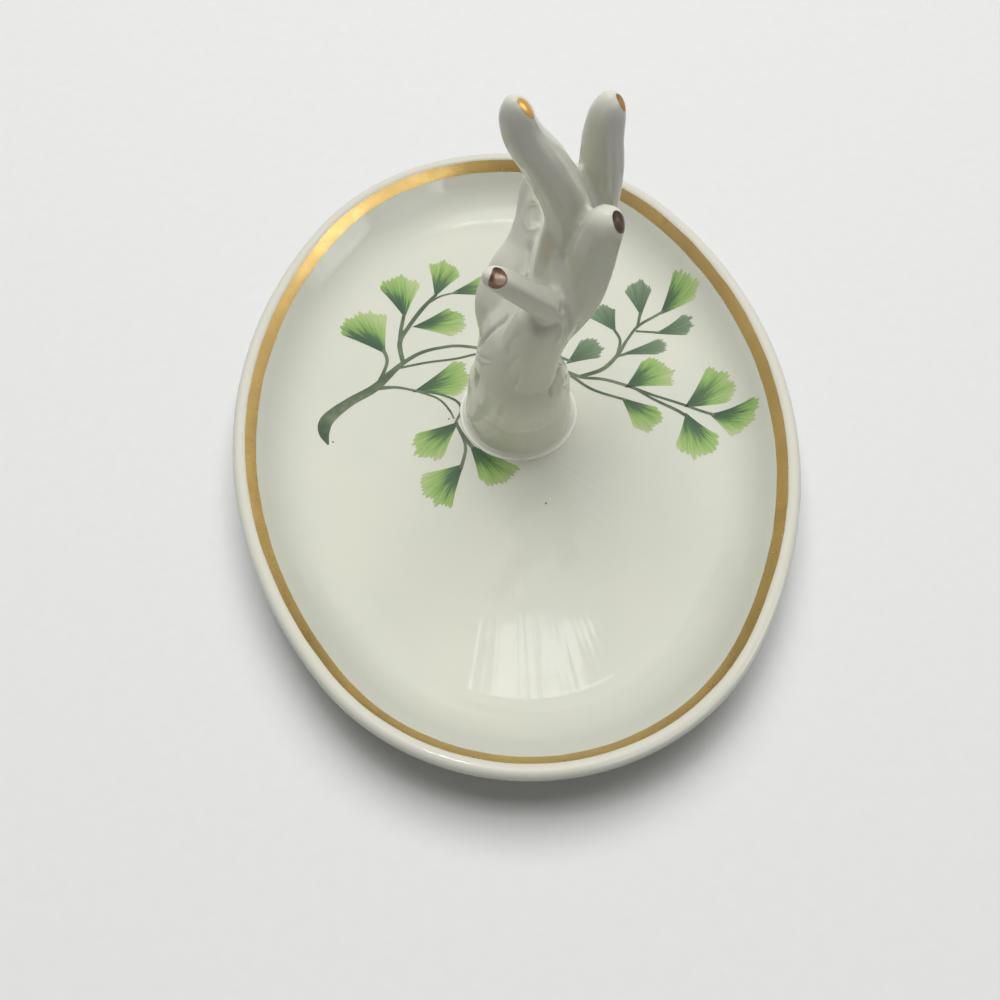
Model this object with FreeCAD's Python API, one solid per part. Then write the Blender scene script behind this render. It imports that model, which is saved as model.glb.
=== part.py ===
import FreeCAD
import Part
import math
import os
from FreeCAD import Vector

# An oval porcelain ring dish with a standing left hand, in millimetres.
# The table is Z = 0, the middle of the dish is the origin, and its length runs along Y.
# The palm faces -X and the thumb side of the hand faces +Y.

# Dish casting
dish_length = 137.0         # over the lip, along Y
dish_width = 104.0          # over the lip, along X
end_tightening = 7.6        # half the width less the plan radius of the two ends
rim_height = 14.0           # crest of the lip above the table
wall = 2.8                  # one thickness for lip, side and floor, as slip casting gives
wall_slope = 48.0           # degrees from level, just below the lip
cove_radius = 15.0          # inside curve from the side to the floor
most_of_depth = 0.95        # share of the dish's depth that the cove may take up
foot_height = 2.6           # underside of the floor above the table
foot_width = 2.6            # width of the ring that the dish stands on
foot_setback = 0.5          # from the end of the cove to the foot
foot_rounding = 0.6         # rounded edges of the foot
vent_radius = 3.0           # firing vent in the floor, under the hollow hand

# Fired decoration, drawn thicker than real so that it stays a solid
gilt_thickness = 0.10
enamel_thickness = 0.08
decoration_gap = 0.2        # between the sprays and what they stop at
band_inset = 2.5            # from the lip's outer edge to the gilt band, seen from above
band_width = 1.9            # width of the band, seen from above

# Hand casting: where it stands, and its cuff
hand_x = 1.8
hand_y = 5.0
cuff_foot_radius = 10.4
cuff_top_radius = 9.6
cuff_height = 13.0
cuff_rounding = 2.0         # rounded top edge of the cuff
hand_wall = 2.6             # wall of the hollow wrist and palm
hollow_reach = 24.0         # top of the hollow above the cuff
slip_reach = 1.3            # how far the luting slip spreads over the floor
slip_rise = 1.2             # how far it climbs the cuff
slip_bow = 0.4              # how hollow the slip's surface is: 0 is flat, 1 reaches the corner

# Wrist and palm stations, measured from the middle of the cuff's top edge:
# centre, half thickness, half width, lean of the section in degrees, depth of the hollowed palm.
palm_stations = [
    (Vector(-0.4, -0.1, -6.0), 8.6, 9.2, 0.0, 0.0),
    (Vector(-0.5, -0.1, 1.0), 8.1, 9.2, 0.0, 0.0),
    (Vector(-0.4, 0.2, 8.0), 7.7, 8.8, 0.0, 0.0),
    (Vector(1.0, 0.6, 15.0), 7.5, 9.4, 5.0, 0.6),
    (Vector(3.4, 0.4, 21.5), 6.6, 10.0, 10.0, 1.8),
    (Vector(5.8, 0.2, 27.5), 5.6, 9.8, 16.0, 1.8),
    (Vector(7.4, 0.6, 33.0), 4.6, 8.2, 22.0, 0.6),
]
palm_crown = 2.0            # rounding above the last station
crown_thinning = 0.5        # share of the last station's thickness that is left at the crown
crown_narrowing = 0.75      # share of its width that is left there

# Digits: path from inside the palm to the tip, measured as the palm is, the radius at each
# point, and the direction that the nail faces.
digits = {
    "thumb": (
        [Vector(-2.4, 4.0, 7.0), Vector(-2.8, 6.0, 14.0), Vector(-1.2, 8.0, 19.0),
         Vector(0.8, 10.2, 23.5), Vector(2.0, 11.6, 29.5), Vector(1.2, 13.0, 36.4)],
        [5.4, 4.9, 4.1, 3.4, 3.0, 2.3],
        Vector(-0.3, 1.0, 0.0),
    ),
    "index_finger": (
        [Vector(8.0, 5.0, 26.0), Vector(11.2, 6.0, 35.0), Vector(11.9, 5.6, 43.5),
         Vector(11.6, 5.2, 50.5), Vector(12.2, 5.0, 57.8)],
        [4.2, 3.8, 3.4, 3.0, 2.3],
        Vector(1.0, -0.3, 0.3),
    ),
    "middle_finger": (
        [Vector(6.0, 1.6, 28.0), Vector(6.9, 1.4, 38.5), Vector(3.0, 1.0, 48.5),
         Vector(-0.6, 0.6, 55.0), Vector(-2.3, 0.0, 62.2)],
        [4.2, 3.9, 3.5, 3.0, 2.3],
        Vector(0.9, -0.3, 0.4),
    ),
    "ring_finger": (
        [Vector(4.8, -3.0, 20.0), Vector(8.0, -3.4, 26.0), Vector(10.0, -3.6, 32.0),
         Vector(11.0, -4.2, 38.5), Vector(12.2, -5.0, 45.4)],
        [4.4, 4.2, 3.8, 3.3, 2.5],
        Vector(1.0, -0.3, 0.1),
    ),
    "little_finger": (
        [Vector(4.6, -5.4, 23.0), Vector(2.2, -8.0, 29.0), Vector(-1.4, -10.4, 34.4),
         Vector(-4.4, -12.0, 39.2), Vector(-7.2, -13.2, 42.6)],
        [3.4, 3.1, 2.8, 2.5, 2.0],
        Vector(0.75, -0.45, 0.5),
    ),
}
tip_length = 4.6            # length over which a digit rounds off to its tip
nail_length = 3.8
nail_width = 2.8
nail_setback = 0.6          # from the fingertip to the nail
tip_stations = (0.0, 0.4, 0.7, 0.9, 0.98)
section_points = 16         # points that each round section of the hand is drawn through

spray_square = 1.0          # side of one square of the grid that the sprays are drawn on

# Fern sprays on the floor, in grid squares from the middle of the dish:
# stems as points from root to tip, with widths at root and tip.
stems = {
    "left": [
        ([(-35, 1), (-36.5, 4), (-36, 7.5), (-32, 11), (-26, 14), (-23, 17)], 2.4, 1.6),
        ([(-23, 17), (-19, 21), (-15, 22.5), (-10.5, 23), (-6, 22), (-1, 20.5), (5, 18)], 1.5, 0.8),
        ([(-21, 20), (-21, 25.5), (-18.5, 30), (-16.5, 33), (-12.5, 36), (-8, 37)], 1.3, 0.7),
        ([(-21, 26), (-20.5, 29), (-20, 32)], 0.9, 0.7),
        ([(-26, 14), (-24, 18.5), (-24, 21), (-24.5, 23)], 0.9, 0.7),
        ([(-23, 17), (-19, 19), (-12.5, 19.5), (-6, 21)], 0.8, 0.6),
        ([(-26, 14), (-20, 12.5), (-17, 11.5), (-11.5, 10), (-10.5, 7), (-11, 3)], 1.0, 0.7),
        ([(-11, 4), (-9.5, -1), (-10.5, -6)], 0.9, 0.7),
        ([(-11, 4), (-8, -2)], 0.9, 0.7),
    ],
    "right": [
        ([(6.5, 17.5), (13, 14), (15.5, 12.5), (19, 14.5), (22.5, 18), (26, 23), (32.5, 28)], 1.2, 0.7),
        ([(13, 14), (18, 12), (23.5, 10), (29, 7.5), (34.5, 3.5), (38.5, 2)], 1.2, 0.7),
        ([(13, 14), (19, 9.5), (25.5, 7.5), (34.5, 2.5)], 0.9, 0.7),
        ([(13, 14), (12, 17)], 0.8, 0.7),
        ([(22.5, 18), (23.5, 20.5), (22.5, 24.5)], 0.8, 0.7),
        ([(26, 23), (28.5, 27.5)], 0.8, 0.7),
        ([(26, 23), (29.5, 23)], 0.8, 0.7),
        ([(22, 17), (24, 17.5)], 0.8, 0.7),
    ],
}

# Fan leaves, on the same grid: foot of the leaf, heading in degrees from +X, length, and spread
# to each side in degrees.
leaves = {
    "left": [
        (-24.5, 23, 115, 11, 24), (-20, 32, 95, 11, 24), (-12.5, 36, 75, 11, 22), (-8, 37, 20, 8, 20),
        (-18, 28, 5, 12, 20), (-18, 12, 15, 11, 22), (-11, 3, 210, 10, 26), (-10.5, -6, 232, 10, 26),
        (-8, -2, 300, 10, 24),
    ],
    "right": [
        (12, 17, 35, 8, 26), (22.5, 24.5, 120, 7, 26), (28.5, 27.5, 85, 10, 21), (32.5, 28, 55, 12, 16),
        (29.5, 23, 15, 10, 20), (24, 17.5, 10, 10, 17), (23.5, 10, 15, 11, 20), (22, 8, -55, 9, 26),
        (34, 4, 35, 12, 18), (34.5, 2.5, -92, 10, 27), (38.5, 2, -12, 9, 26),
    ],
}
leaf_lobes = 5
leaf_notch = 0.12           # depth of the notches between lobes, as a share of the leaf's length

# Derived places
floor_height = foot_height + wall
half_length = dish_length / 2
half_width = dish_width / 2
end_radius = half_width - end_tightening
end_centre = half_length - end_radius
side_radius = (end_centre ** 2 + half_width ** 2 - end_radius ** 2) / (2 * end_tightening)
side_centre = side_radius - half_width
join_angle = math.degrees(math.atan2(end_centre, side_centre))
hand_foot = Vector(hand_x, hand_y, floor_height)
wrist = hand_foot + Vector(0, 0, cuff_height)
middle = Vector(0, 0, 0)
upright = Vector(0, 0, 1)


def arc(start, through, end):
    return Part.Arc(start, through, end).toShape()


def line(start, end):
    return Part.LineSegment(start, end).toShape()


def face_within(edges):
    return Part.Face(Part.Wire(Part.__sortEdges__(edges)))


def section_point(inset, height):
    """A point of the dish's cross-section: distance in from the lip's outer edge, and height."""
    return Vector(inset, 0, height)


class WallSection:
    """Key points of the dish's inner face in cross-section, raised from it by proud."""

    def __init__(self, proud=0.0):
        slope = math.radians(wall_slope)
        half_slope = slope / 2
        lip_radius = wall / 2
        self.down = Vector(math.cos(slope), 0, -math.sin(slope))
        inward = Vector(math.sin(slope), 0, math.cos(slope))
        self.lip_centre = section_point(lip_radius, rim_height - lip_radius)
        lip_inner = self.lip_centre + inward * lip_radius
        depth = lip_inner.z - floor_height
        fall = 1 - math.cos(slope)
        cove = min(cove_radius, most_of_depth * depth / fall)
        straight = (depth - cove * fall) / math.sin(slope)
        cove_centre = lip_inner + self.down * straight + inward * cove
        self.lip_inner = lip_inner + inward * proud
        self.cove_start = cove_centre - inward * (cove - proud)
        bisector = Vector(math.sin(half_slope), 0, math.cos(half_slope))
        self.cove_middle = cove_centre - bisector * (cove - proud)
        self.cove_end = cove_centre - upright * (cove - proud)


def oval_arcs(inset):
    """The oval's four arcs, drawn in by inset: half turn, centre, radius, start and end angles."""
    for turn in (0, 180):
        yield turn, Vector(-side_centre, 0, 0), side_radius - inset, -join_angle, join_angle
        yield turn, Vector(0, end_centre, 0), end_radius - inset, join_angle, 180 - join_angle


def around_oval(face):
    """Carries a cross-section face (inset, height) round the four arcs of the oval."""
    pieces = []
    for turn, centre, radius, start, end in oval_arcs(0):
        placed = face.mirror(middle, Vector(1, 0, 0))
        placed.translate(centre + Vector(radius, 0, 0))
        placed.rotate(centre, upright, start)
        piece = placed.revolve(centre, upright, end - start)
        piece.rotate(middle, upright, turn)
        pieces.append(piece)
    return pieces[0].multiFuse(pieces[1:]).removeSplitter()


def oval_prism(inset, bottom, top):
    """An upright solid whose outline is the oval, drawn in by inset."""
    edges = []
    for turn, centre, radius, start, end in oval_arcs(inset):
        angles = [math.radians(a) for a in (start, (start + end) / 2, end)]
        edge = arc(*[centre + Vector(math.cos(a), math.sin(a), 0) * radius for a in angles])
        edge.rotate(middle, upright, turn)
        edges.append(edge)
    face = face_within(edges)
    face.translate(upright * bottom)
    return face.extrude(upright * (top - bottom))


def foot_edges(foot_start, foot_end):
    """Edges of the foot ring's cross-section, from the floor's underside round to its top."""
    bend = foot_rounding * (1 - math.sqrt(0.5))
    outer_side = section_point(foot_start, foot_rounding)
    outer_rest = section_point(foot_start + foot_rounding, 0)
    inner_rest = section_point(foot_end - foot_rounding, 0)
    inner_side = section_point(foot_end, foot_rounding)
    return [
        line(section_point(foot_start, foot_height), outer_side),
        arc(outer_side, section_point(foot_start + bend, bend), outer_rest),
        line(outer_rest, inner_rest),
        arc(inner_rest, section_point(foot_end - bend, bend), inner_side),
        line(inner_side, section_point(foot_end, floor_height)),
    ]


def make_dish():
    """The oval dish: rounded lip, sloping side, cove, flat floor and foot ring in one casting."""
    inside = WallSection()
    outside = WallSection(-wall)
    lip_crown = inside.lip_centre - inside.down * (wall / 2)
    foot_start = outside.cove_end.x + foot_setback
    foot_end = foot_start + foot_width
    outline = foot_edges(foot_start, foot_end) + [
        arc(outside.lip_inner, lip_crown, inside.lip_inner),
        line(inside.lip_inner, inside.cove_start),
        arc(inside.cove_start, inside.cove_middle, inside.cove_end),
        line(inside.cove_end, section_point(foot_end, floor_height)),
        line(section_point(foot_start, foot_height), outside.cove_end),
        arc(outside.cove_end, outside.cove_middle, outside.cove_start),
        line(outside.cove_start, outside.lip_inner),
    ]
    ring = around_oval(face_within(outline))
    plate = oval_prism(foot_end, foot_height, floor_height)
    vent = Part.makeCylinder(vent_radius, floor_height, Vector(hand_x, hand_y, 0))
    return ring.fuse(plate).removeSplitter().cut(vent)


def inside_skin(thickness):
    """A thin layer over the whole inside of the dish, for fired decoration to be cut from."""
    below = WallSection()
    above = WallSection(thickness)
    outline = [
        line(below.lip_inner, below.cove_start),
        arc(below.cove_start, below.cove_middle, below.cove_end),
        line(below.cove_end, above.cove_end),
        arc(above.cove_end, above.cove_middle, above.cove_start),
        line(above.cove_start, above.lip_inner),
        line(above.lip_inner, below.lip_inner),
    ]
    ring = around_oval(face_within(outline))
    plate = oval_prism(below.cove_end.x, floor_height, floor_height + thickness)
    return ring.fuse(plate).removeSplitter()


def make_rim_band():
    """The gilt line just inside the lip."""
    above_lip = rim_height + wall
    outer = oval_prism(band_inset, 0, above_lip)
    inner = oval_prism(band_inset + band_width, 0, above_lip)
    return inside_skin(gilt_thickness).common(outer.cut(inner))


def smooth(values, share):
    """A smooth curve through a list of numbers or points, at a share of its run."""
    place = share * (len(values) - 1)
    first = min(int(place), len(values) - 2)
    t = place - first
    start, end = values[first], values[first + 1]
    before = values[first - 1] if first else start * 2 - end
    after = values[first + 2] if first + 2 < len(values) else end * 2 - start
    leave = (end - before) * 0.5
    arrive = (after - start) * 0.5
    return (start * (2 * t ** 3 - 3 * t ** 2 + 1) + leave * (t ** 3 - 2 * t ** 2 + t)
            + end * (3 * t ** 2 - 2 * t ** 3) + arrive * (t ** 3 - t ** 2))


def ring_wire(centre, across, along, half_across, half_along, hollow=0.0):
    """A closed oval curve about centre, pushed in by hollow on the side away from across."""
    around = []
    for i in range(section_points):
        turn = 2 * math.pi * i / section_points
        dent = hollow * max(0.0, -math.cos(turn)) ** 3
        around.append(centre + across * (half_across * math.cos(turn) + dent)
                      + along * (half_along * math.sin(turn)))
    curve = Part.BSplineCurve()
    curve.interpolate(around, PeriodicFlag=True)
    return Part.Wire([curve.toShape()])


def palm_ring(share, inset):
    """Section of the wrist and palm at a share of its height, drawn in by inset."""
    centre, half_thick, half_wide, lean, hollow = [
        smooth(list(column), share) for column in zip(*palm_stations)]
    tilt = math.radians(lean)
    along = Vector(0, math.cos(tilt), math.sin(tilt))
    return wrist + centre, Vector(1, 0, 0), along, half_thick - inset, half_wide - inset, hollow


def make_palm():
    """Solid form of the wrist and palm, before it is hollowed."""
    steps = 2 * len(palm_stations)
    rings = [palm_ring(i / steps, 0.0) for i in range(steps + 1)]
    wires = [ring_wire(*ring) for ring in rings]
    centre, across, along, half_thick, half_wide, hollow = rings[-1]
    crown = centre + across.cross(along) * palm_crown
    half_thick *= crown_thinning
    half_wide *= crown_narrowing
    wires.append(ring_wire(crown, across, along, half_thick, half_wide))
    return Part.makeLoft(wires, True)


def cuff_radius(height):
    return cuff_foot_radius + (cuff_top_radius - cuff_foot_radius) * height / cuff_height


def make_cuff():
    """The tapered cuff that the hand stands on, with a rounded top edge."""
    foot = Vector(cuff_foot_radius, 0, 0)
    side = Vector(cuff_radius(cuff_height - cuff_rounding), 0, cuff_height - cuff_rounding)
    bend = cuff_rounding * (1 - math.sqrt(0.5))
    shoulder = Vector(side.x - bend, 0, cuff_height - bend)
    top = Vector(side.x - cuff_rounding, 0, cuff_height)
    axis_top = Vector(0, 0, cuff_height)
    edges = [line(middle, foot), line(foot, side), arc(side, shoulder, top),
             line(top, axis_top), line(axis_top, middle)]
    cuff = face_within(edges).revolve(middle, upright, 360)
    cuff.translate(hand_foot)
    return cuff


def make_hollow():
    """The space that the drained slip leaves inside the cuff, wrist and palm."""
    steps = 2 * len(palm_stations)
    rings = [palm_ring(i / steps, hand_wall) for i in range(steps + 1)]
    rings = [ring for ring in rings if ring[0].z - wrist.z < hollow_reach]
    wires = [ring_wire(*ring) for ring in rings]
    inside = Part.makeLoft(wires, True)
    drop = rings[0][0].z - hand_foot.z
    drain = Part.Face(wires[0]).extrude(upright * -drop)
    return inside.fuse(drain)


def path_length(points):
    steps = 40
    places = [smooth(points, i / steps) for i in range(steps + 1)]
    return sum((b - a).Length for a, b in zip(places, places[1:]))


def heading_along(points, share):
    step = 0.01
    return (smooth(points, min(1.0, share + step)) - smooth(points, max(0.0, share - step))).normalize()


def make_digit(points, radii, proud=0.0):
    """One finger or the thumb: round sections along a curved path, closed by a rounded tip."""
    round_share = tip_length / path_length(points)
    steps = 2 * len(points)
    shares = [i / steps * (1 - round_share) for i in range(steps)]
    shares += [1 - round_share * (1 - s) for s in tip_stations]
    wires = []
    for share in shares:
        over = max(0.0, share - 1 + round_share) / round_share
        radius = smooth(radii, share) * math.sqrt(1 - over * over) + proud
        forward = heading_along(points, share)
        across = Vector(0, 1, 0).cross(forward).normalize()
        centre = wrist + smooth(points, share)
        wires.append(ring_wire(centre, across, forward.cross(across), radius, radius))
    return Part.makeLoft(wires, True)


def make_nail(points, radii, facing):
    """The gilding of one nail: a thin oval shell on the fingertip."""
    share = 1 - (nail_setback + nail_length / 2) / path_length(points)
    forward = heading_along(points, share)
    outward = (facing - forward * facing.dot(forward)).normalize()
    outline = ring_wire(wrist + smooth(points, share), forward, outward.cross(forward),
                        nail_length / 2, nail_width / 2)
    reach = Part.Face(outline).extrude(outward * (2 * radii[0]))
    return make_digit(points, radii, gilt_thickness).common(reach).cut(make_digit(points, radii))


def make_hand():
    """The hand's castings and nail gildings by name, standing on the dish's floor."""
    palm = make_palm().fuse(make_cuff())
    made = {"wrist_and_palm": palm.cut(make_hollow())}
    placed = palm
    for name, (points, radii, facing) in digits.items():
        digit = make_digit(points, radii)
        made[name] = digit.cut(placed)
        made[name.split("_")[0] + "_nail_gilding"] = make_nail(points, radii, facing)
        placed = placed.fuse(digit)
    return made


def make_luting():
    """The fillet of slip that sticks the cuff to the floor."""
    corner = Vector(cuff_foot_radius, 0, 0)
    spread = Vector(cuff_foot_radius + slip_reach, 0, 0)
    climb = Vector(cuff_radius(slip_rise), 0, slip_rise)
    chord = (spread + climb) * 0.5
    bow = chord + (corner - chord) * slip_bow
    fillet = face_within([line(corner, spread), arc(spread, bow, climb), line(climb, corner)])
    ring = fillet.revolve(middle, upright, 360)
    ring.translate(hand_foot)
    return ring


def standing_prism(corners):
    """An upright prism through the dish's inside, over a closed outline of grid points."""
    outline = Part.makePolygon([Vector(x, y, 0) * spray_square for x, y in corners + corners[:1]])
    return Part.Face(outline).extrude(upright * rim_height)


def stem_prism(points, root_width, tip_width):
    """A tapering ribbon along a smooth path."""
    path = [Vector(x, y, 0) for x, y in points]
    steps = 4 * (len(points) - 1)
    left, right = [], []
    for i in range(steps + 1):
        share = i / steps
        forward = heading_along(path, share)
        aside = upright.cross(forward) * (root_width + (tip_width - root_width) * share) / 2
        place = smooth(path, share)
        left.append((place.x + aside.x, place.y + aside.y))
        right.append((place.x - aside.x, place.y - aside.y))
    return standing_prism(left + right[::-1])


def leaf_prism(x, y, heading, length, spread):
    """A fan leaf: narrow foot, hollow sides and a lobed outer edge."""
    corners = []
    steps = 2 * leaf_lobes
    for i in range(steps + 1):
        angle = math.radians(heading + spread * (2 * i / steps - 1))
        radius = length * (1 - leaf_notch * (i % 2 == 0))
        corners.append((x + radius * math.cos(angle), y + radius * math.sin(angle)))
    corners.append((x, y))
    return standing_prism(corners)


def make_sprays():
    """Stems and leaves of the two fern sprays, as enamel on the inside of the dish."""
    clear_of_hand = cuff_foot_radius + slip_reach + decoration_gap
    field = oval_prism(band_inset + band_width + decoration_gap, 0, rim_height)
    field = field.cut(Part.makeCylinder(clear_of_hand, rim_height, Vector(hand_x, hand_y, 0)))
    skin = inside_skin(enamel_thickness).common(field)
    made = {}
    for side in stems:
        stem_shapes = [stem_prism(*stem) for stem in stems[side]]
        leaf_shapes = [leaf_prism(*leaf) for leaf in leaves[side]]
        branch = stem_shapes[0].multiFuse(stem_shapes[1:])
        foliage = leaf_shapes[0].multiFuse(leaf_shapes[1:]).cut(branch)
        made[side + "_spray_stems"] = skin.common(branch)
        made[side + "_spray_leaves"] = skin.common(foliage)
    return made


def main():
    os.makedirs("parts", exist_ok=True)
    made = {"dish": make_dish(), "rim_gilt_band": make_rim_band(), "luting_fillet": make_luting()}
    made.update(make_hand())
    made.update(make_sprays())
    for name, shape in made.items():
        print(name, shape.isValid(), len(shape.Solids), round(shape.Volume, 2))
        shape.exportStep(f"parts/{name}.step")


main()
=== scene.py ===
import math
import random

import bmesh
import bpy
from mathutils import Matrix, Vector
from mathutils.bvhtree import BVHTree
from mathutils.kdtree import KDTree


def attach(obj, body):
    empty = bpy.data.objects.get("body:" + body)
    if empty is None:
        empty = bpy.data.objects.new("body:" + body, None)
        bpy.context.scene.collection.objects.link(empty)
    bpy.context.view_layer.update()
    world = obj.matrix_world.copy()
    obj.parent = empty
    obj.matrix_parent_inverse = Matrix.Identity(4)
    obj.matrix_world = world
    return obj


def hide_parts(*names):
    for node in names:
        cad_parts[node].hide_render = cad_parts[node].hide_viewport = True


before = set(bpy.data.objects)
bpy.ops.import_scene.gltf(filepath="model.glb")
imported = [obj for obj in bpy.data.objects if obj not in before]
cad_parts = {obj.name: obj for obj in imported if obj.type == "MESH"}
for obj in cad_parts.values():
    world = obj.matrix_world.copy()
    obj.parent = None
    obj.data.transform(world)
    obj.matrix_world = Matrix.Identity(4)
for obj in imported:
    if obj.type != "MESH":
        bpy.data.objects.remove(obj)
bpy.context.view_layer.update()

# Everything is modelled in millimetres, in the frame of the solids, and scaled to metres when it is placed.
METRES = 0.001
UP = Vector((0, 0, 1))

# Dish
DISH_LENGTH = 137.0
DISH_WIDTH = 104.0
END_TIGHTENING = 7.6
RIM_HEIGHT = 14.0
WALL = 2.8
WALL_SLOPE = 48.0
COVE_RADIUS = 15.0
FOOT_HEIGHT = 2.6
FOOT_WIDTH = 2.6
FOOT_SETBACK = 0.5
FOOT_ROUNDING = 0.6
VENT_RADIUS = 3.0
VENT_SEGMENTS = 40
SIDE_STEPS = 56
END_STEPS = 56
COVE_STEPS = 22
LIP_STEPS = 24
FOOT_STEPS = 6
WELD = 0.001
SAME_LEVEL = 0.01

FLOOR_HEIGHT = FOOT_HEIGHT + WALL
HALF_WIDTH = DISH_WIDTH / 2
END_RADIUS = HALF_WIDTH - END_TIGHTENING
END_CENTRE = DISH_LENGTH / 2 - END_RADIUS
SIDE_RADIUS = (END_CENTRE ** 2 + HALF_WIDTH ** 2 - END_RADIUS ** 2) / (2 * END_TIGHTENING)
SIDE_CENTRE = SIDE_RADIUS - HALF_WIDTH
JOIN_ANGLE = math.degrees(math.atan2(END_CENTRE, SIDE_CENTRE))

# Gilt band
BAND_INSET = 2.4
BAND_WIDTH = 1.65
BAND_THICKNESS = 0.08
BAND_EDGE = 0.35
BAND_CROWN = 2.6
BAND_STEPS = 6
BAND_WAVER = 0.07
BAND_WAVES = 9
BAND_WAVE_COUNTS = (7, 60)
BAND_SEED = 5

# Hand
HAND = Vector((1.8, 5.0, FLOOR_HEIGHT))
CUFF_HEIGHT = 13.0
WRIST = HAND + UP * CUFF_HEIGHT
CUFF_FOOT_RADIUS = 10.5
CUFF_TOP_RADIUS = 9.2
CUFF_BORE = 6.0
CUFF_EASE = 0.1
# Inset from the cuff's side and drop from its top, at each point of its rounded shoulder
CUFF_SHOULDER = [(0.0, 2.0), (0.5, 0.7), (1.6, 0.0)]
SUNK = 0.6
CUFF_SHIFT = Vector((-0.4, 0.7, 0.0))
CUFF_STEPS = 72
SLIP_REACH = 0.9
SLIP_RISE = 0.9
SLIP_LAP = 0.5
SLIP_BEND = 0.3
SLIP_TUCK = 0.05
SLIP_STEPS = 120
CLIMB_STEPS = 9
BEAD = 0.22
BEAD_TURN = 110
BEAD_STEPS = 8

# Wrist and palm, from the cuff's top: centre, half thickness, half width, lean, hollow of the palm.
PALM = [
    ((-0.3, -0.1, -5.0), 9.0, 9.5, 0, 0.0),
    ((-0.4, -0.1, 1.0), 8.4, 9.4, 0, 0.0),
    ((-0.8, 0.2, 8.0), 7.2, 8.8, 0, 0.0),
    ((1.0, 0.6, 15.0), 7.5, 9.4, 5, 0.6),
    ((3.2, 0.4, 21.5), 6.5, 10.0, 10, 2.8),
    ((5.4, 0.2, 27.5), 5.5, 9.8, 16, 3.0),
    ((7.1, 0.6, 33.0), 4.5, 8.2, 22, 1.4),
]

# Digits, from the same point: path from inside the palm to the tip, radius at each point, length of the
# rounded tip, facing of the nail, and the nail's length, width, distance from the tip and tilt over it.
DIGITS = {
    "thumb": (
        [(-2.4, 4.0, 7.0), (-2.8, 6.0, 14.0), (-1.2, 8.0, 19.0),
         (1.5, 10.2, 23.5), (2.5, 11.7, 29.5), (1.6, 13.3, 36.8)],
        [4.8, 5.0, 4.2, 3.5, 2.8, 1.6], 4.6, (-0.3, 1.0, 0.0), 3.6, 2.6, 0.6, 0.0),
    "index": (
        [(3.8, 4.0, 17.0), (8.0, 5.0, 26.0), (11.2, 6.0, 35.0),
         (11.9, 5.6, 43.5), (11.6, 5.2, 50.5), (12.2, 5.0, 57.8)],
        [3.2, 4.2, 3.8, 3.5, 3.1, 2.4], 4.4, (1.0, -0.34, 0.45), 2.2, 1.6, 0.4, 0.0),
    "middle": (
        [(4.8, 1.8, 20.0), (6.0, 1.6, 28.0), (6.9, 1.4, 38.5),
         (3.0, 1.0, 48.5), (-0.7, 0.6, 55.0), (-2.5, 0.0, 62.2)],
        [3.0, 4.1, 3.9, 3.5, 2.9, 2.2], 4.6, (0.8, -0.42, 0.45), 3.6, 1.5, 1.0, 0.3),
    "ring": (
        [(2.8, -2.6, 14.0), (5.2, -3.0, 20.0), (8.0, -3.4, 26.0),
         (9.6, -3.6, 32.0), (10.6, -4.2, 38.5), (11.9, -5.0, 45.1)],
        [3.5, 4.4, 4.3, 3.9, 3.4, 2.7], 3.0, (0.88, -0.56, 0.35), 4.2, 2.7, 0.2, 0.65),
    "little": (
        [(5.4, -3.2, 20.0), (3.2, -7.0, 27.0), (-0.4, -9.8, 33.0),
         (-4.2, -12.0, 38.8), (-7.4, -13.3, 42.7)],
        [3.6, 2.8, 2.3, 2.1, 1.8], 4.0, (0.5, -0.62, 0.45), 2.5, 3.0, 1.2, 0.0),
}
# Heel of the hand below the little finger: path and radii
HEEL = [(0.0, -3.0, 4.0), (1.0, -4.5, 14.0), (2.4, -6.0, 22.0), (2.2, -7.2, 27.0)]
HEEL_RADII = [5.5, 5.2, 4.6, 3.4]
HEEL_TIP = 4.6
NAIL_PROUD = 0.05
NAIL_SEGMENTS = 36
NAIL_RINGS = 5
NAIL_CLEAR = 1.3
LIMB_SEGMENTS = 32
PALM_STEPS = 4
DIGIT_STEPS = 6
TIP_SHARES = (0.0, 0.2, 0.4, 0.55, 0.7, 0.8, 0.9, 0.96, 0.99)
PATH_STEPS = 40
HEADING_STEP = 0.01
PALM_CROWN = 2.0
CROWN_THICKNESS = 0.5
CROWN_WIDTH = 0.75
HOLLOW_LEAN = 0.4
WEB_REACH = 0.40
FLUTES = 5
FLUTE_DEPTH = 0.045
VOXEL = 0.36
SKIN_VOXEL = 0.28
SOFTENING = 3
SHARP_ANGLE = 0.7

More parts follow.
